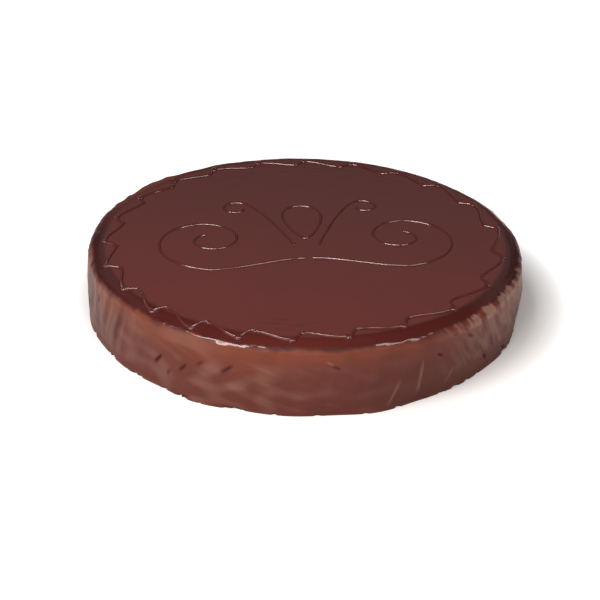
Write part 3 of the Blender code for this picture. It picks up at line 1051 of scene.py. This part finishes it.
def wave_angle(turn):
    drift = WAVE_DRIFT * math.sin(turn + WAVE_DRIFT_PHASE)
    second = WAVE_SECOND_DRIFT * math.sin(2 * turn + WAVE_SECOND_PHASE)
    return turn + WAVE_PHASE + drift + second


def wave_outwards(share):
    """0 where the thread is furthest in, and 1 at the crest."""
    outward = 1 - WAVE_RETURN
    if share < outward:
        turn = share / outward
    else:
        turn = 1 + (share - outward) / WAVE_RETURN
    return (1 - math.cos(math.pi * turn)) / 2


def border_guide():
    chance = random.Random(BORDER_SEED)
    points, swell, beads = [], [], []
    crest = 1 - WAVE_RETURN
    for wave in range(WAVE_COUNT):
        reach = chance.uniform(*WAVE_REACH_MM) * MM
        crest_swell = chance.uniform(*CREST_SWELL)
        hook_swell = chance.uniform(*HOOK_SWELL)
        dots = {round(crest * WAVE_POINTS): chance.uniform(*CREST_BEAD)}
        dots[chance.randint(*HOOK_STEPS)] = chance.uniform(*HOOK_BEAD)
        for step in range(WAVE_POINTS):
            share = step / WAVE_POINTS
            angle = wave_angle(math.tau * (wave + share) / WAVE_COUNT)
            out = wave_outwards(share)
            radius = WAVE_CREST_RADIUS + WAVE_LEAN_SHIFT * lean(angle)
            radius += reach * out - WAVE_DEPTH * (1 - out)
            height = top_height(radius, angle)
            points.append((radius * math.cos(angle), radius * math.sin(angle), height))
            at_crest = math.exp(-(((share - crest) / SWELL_SPAN) ** 2))
            at_hook = math.exp(-((min(share, 1 - share) / SWELL_SPAN) ** 2))
            swell.append(THREAD_SWELL + crest_swell * at_crest + hook_swell * at_hook)
            beads.append(dots.get(step, 0))
    return guide_mesh("border_path", points, closed=True, swell=swell, bead=beads)


border = made_by_tree(
    "border",
    border_guide(),
    thread_tree,
    half_width=BORDER_HALF_WIDTH,
    height=BORDER_HEIGHT,
    sink=THREAD_SINK,
    wobble=0.25 * MM,
    wobble_size=9 * MM,
    rounded_ends=False,
    bead_flatness=0.65,
    chocolate=piped_glaze,
)
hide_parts("piped_border")
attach(border, "root")
print("the border has", len(border.data.polygons), "faces")

# %% [markdown]
# ## The scroll in the middle
#
# A pair of volutes, a pair of tendrils and a bud make a plain mirrored ornament.  Each stroke is
# laid in one movement from the middle outwards and ends in a small bead where the cone is
# lifted.  The strokes repeat the paths of the CAD solids with more points.

# %% The scroll's strokes
SCROLL_HALF_WIDTH = 0.95 * MM
SCROLL_HEIGHT = 0.95 * MM
SCROLL_GAP = 1.6 * MM
SCROLL_TILT = math.radians(5)
VOLUTE_CENTRE = (0.430 * CAKE_RADIUS, -0.020 * CAKE_RADIUS)
VOLUTE_RADIUS = 0.300 * CAKE_RADIUS
VOLUTE_TURNS = 1.45
VOLUTE_SHRINK = 0.18
SCROLL_DIP = 0.095 * CAKE_RADIUS
TENDRIL_START = (0.055 * CAKE_RADIUS, -0.090 * CAKE_RADIUS)
TENDRIL_REACH = 0.310 * CAKE_RADIUS
TENDRIL_RISE = 0.390 * CAKE_RADIUS
TENDRIL_CURL = 0.065 * CAKE_RADIUS
CURL_ANGLE = math.radians(243)
CURL_TIGHTENING = 0.35
BUD_BASE = -0.020 * CAKE_RADIUS
BUD_HEIGHT = 0.360 * CAKE_RADIUS
BUD_WIDTH = 0.085 * CAKE_RADIUS
BUD_TAPER = 0.45
DIP_POINTS, VOLUTE_POINTS = 60, 260
TENDRIL_POINTS, CURL_POINTS = 90, 60
BUD_POINTS = 160
PRESSURE = (0.92, 0.12)  # the thread's usual size, and how much it comes and goes
PRESSURE_WAVES = (5, 8)
START_BEAD = (0.30, 0.02)  # how much the thread swells, and over what share of the stroke
END_BEAD = (0.75, 0.012)


def volute_stroke():
    """From the middle along a dip into a spiral that curls in on itself."""
    centre_x, centre_y = VOLUTE_CENTRE
    low_y = centre_y - VOLUTE_RADIUS
    points = []
    for share in np.linspace(0, 1, DIP_POINTS, endpoint=False):
        ease = share * share * (3 - 2 * share)
        points.append((centre_x * share + SCROLL_GAP, low_y + SCROLL_DIP * (1 - ease)))
    for share in np.linspace(0, 1, VOLUTE_POINTS):
        angle = -math.pi / 2 + math.tau * VOLUTE_TURNS * share
        radius = VOLUTE_RADIUS * VOLUTE_SHRINK**share
        across = centre_x + SCROLL_GAP + radius * math.cos(angle)
        points.append((across, centre_y + radius * math.sin(angle)))
    return points


def tendril_stroke():
    """A rising stroke over the volute that ends in a small curl."""
    start_x, start_y = TENDRIL_START
    points = []
    for share in np.linspace(0, 1, TENDRIL_POINTS, endpoint=False):
        up = math.sin(math.pi / 2 * share)
        across = start_x + (TENDRIL_REACH - start_x) * share
        points.append((across, start_y + (TENDRIL_RISE - start_y) * up))
    for share in np.linspace(0, 1, CURL_POINTS):
        angle = math.pi / 2 - CURL_ANGLE * share
        radius = TENDRIL_CURL * (1 - CURL_TIGHTENING * share)
        up = TENDRIL_RISE - TENDRIL_CURL + radius * math.sin(angle)
        points.append((TENDRIL_REACH + radius * math.cos(angle), up))
    return points


def bud_stroke():
    """An upright egg-shaped loop, wider at its top."""
    points = []
    for turn in np.linspace(0, math.tau, BUD_POINTS, endpoint=False):
        wide = math.sin(turn) * (1 - BUD_TAPER * math.cos(turn))
        points.append((BUD_WIDTH * wide, BUD_BASE + BUD_HEIGHT * (1 - math.cos(turn)) / 2))
    return points


def stroke_guide(name, stroke, side, closed):
    """The stroke on the tilted scroll, with its varying swell; side is -1 for the mirrored one."""
    cosine, sine = math.cos(SCROLL_TILT), math.sin(SCROLL_TILT)
    chance = random.Random(name)
    waves, phase = chance.uniform(*PRESSURE_WAVES), chance.uniform(0, math.tau)
    points, swell = [], []
    for index, (x, y) in enumerate(stroke):
        x *= side
        points.append((x * cosine - y * sine, x * sine + y * cosine, CAKE_HEIGHT))
        share = index / (len(stroke) - 1)
        size = PRESSURE[0] + PRESSURE[1] * math.sin(waves * share * math.tau + phase)
        if not closed:
            for away, (more, span) in ((share, START_BEAD), (1 - share, END_BEAD)):
                size += more * math.exp(-((away / span) ** 2))
        swell.append(size)
    return guide_mesh(name + "_path", points, closed, swell=swell)


STROKES = {
    "volute_right": (volute_stroke(), 1, False),
    "volute_left": (volute_stroke(), -1, False),
    "tendril_right": (tendril_stroke(), 1, False),
    "tendril_left": (tendril_stroke(), -1, False),
    "bud": (bud_stroke(), 1, True),
}
for name, (stroke, side, closed) in STROKES.items():
    thread = made_by_tree(
        name,
        stroke_guide(name, stroke, side, closed),
        thread_tree,
        half_width=SCROLL_HALF_WIDTH,
        height=SCROLL_HEIGHT,
        sink=THREAD_SINK,
        wobble=0.20 * MM,
        wobble_size=14 * MM,
        rounded_ends=not closed,
        bead_flatness=1.0,
        chocolate=piped_glaze,
    )
    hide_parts("scroll_" + name)
    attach(thread, "root")
    print(name, "has", len(thread.data.polygons), "faces")

# %% [markdown]
# ## Drips at the foot
#
# Glaze that ran off sets in small flat lumps where the side meets the board.  They are the same
# few shapes again and again, so a tree scatters one low lump along the foot's outline.  A fixed
# seed decides which places get a lump, how big it is and how it is turned.

# %% The drip tree
# A lump's least and greatest size across the foot, upright and along it, in sizes of a lump.
LUMP_SIZES = ((0.6, 0.30, 0.6), (1.4, 0.70, 2.2))
DRIP_INSET = 1.3 * MM
DRIP_HEIGHT = 0.9 * MM
FOOT_POINTS = 360


def drip_tree():
    tree, given, add = new_tree(
        "foot_drips",
        spacing="Float",
        share="Float",
        size="Float",
        scatter="Float",
        seed="Int",
        glaze="Material",
    )
    path = add("GeometryNodeMeshToCurve", {"Mesh": given["Geometry"]})
    # With the normals level, a lump's X lies across the path, its Y upright and its Z along it.
    path = add("GeometryNodeSetCurveNormal", {"Curve": path}, mode="Z_UP")
    steps = {"Curve": path, "Length": given["Spacing"]}
    places = add("GeometryNodeCurveToPoints", steps, mode="LENGTH")
    chance = {"Probability": given["Share"], "Seed": given["Seed"]}
    kept = add("FunctionNodeRandomValue", chance, data_type="BOOLEAN").outputs[3]
    far = add("ShaderNodeCombineXYZ", {"X": given["Scatter"], "Y": given["Scatter"]})
    near = add("ShaderNodeVectorMath", {0: far, "Scale": -1.0}, operation="SCALE")
    chance = {0: near, 1: far, "Seed": given["Seed"]}
    stray = add("FunctionNodeRandomValue", chance, data_type="FLOAT_VECTOR")
    points = add("GeometryNodeSetPosition", {"Geometry": places, "Offset": stray})
    lump = add("GeometryNodeMeshIcoSphere", {"Radius": 1.0, "Subdivisions": 3})
    chance = {0: LUMP_SIZES[0], 1: LUMP_SIZES[1], "Seed": given["Seed"]}
    size = add("FunctionNodeRandomValue", chance, data_type="FLOAT_VECTOR")
    size = add("ShaderNodeVectorMath", {0: size, "Scale": given["Size"]}, operation="SCALE")
    placing = {
        "Points": points,
        "Selection": kept,
        "Instance": lump,
        "Rotation": places.outputs["Rotation"],
        "Scale": size,
    }
    lumps = add("GeometryNodeInstanceOnPoints", placing)
    whole = add("GeometryNodeRealizeInstances", {"Geometry": lumps})
    smooth = add("GeometryNodeSetShadeSmooth", {"Geometry": whole})
    done = add("GeometryNodeSetMaterial", {"Geometry": smooth, "Material": given["Glaze"]})
    add("NodeGroupOutput", {"Geometry": done})
    return tree


def foot_guide():
    """The foot's outline, a little above the board."""
    points = []
    for angle in np.linspace(0, math.tau, FOOT_POINTS, endpoint=False):
        worked = hand_shape(np.array([angle]), np.array([SHOULDER_MM + 37]), np.zeros(1))[0]
        radius = CAKE_RADIUS + side_offset(angle, 0) + worked * MM - DRIP_INSET
        points.append((radius * math.cos(angle), radius * math.sin(angle), DRIP_HEIGHT))
    return guide_mesh("foot_path", points, closed=True)


drips = made_by_tree(
    "foot_drips",
    foot_guide(),
    drip_tree(),
    spacing=3.2 * MM,
    share=0.42,
    size=1.25 * MM,
    scatter=0.35 * MM,
    seed=7,
    glaze=run_glaze,
)
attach(drips, "root")
print("the drips have", len(drips.data.polygons), "faces")
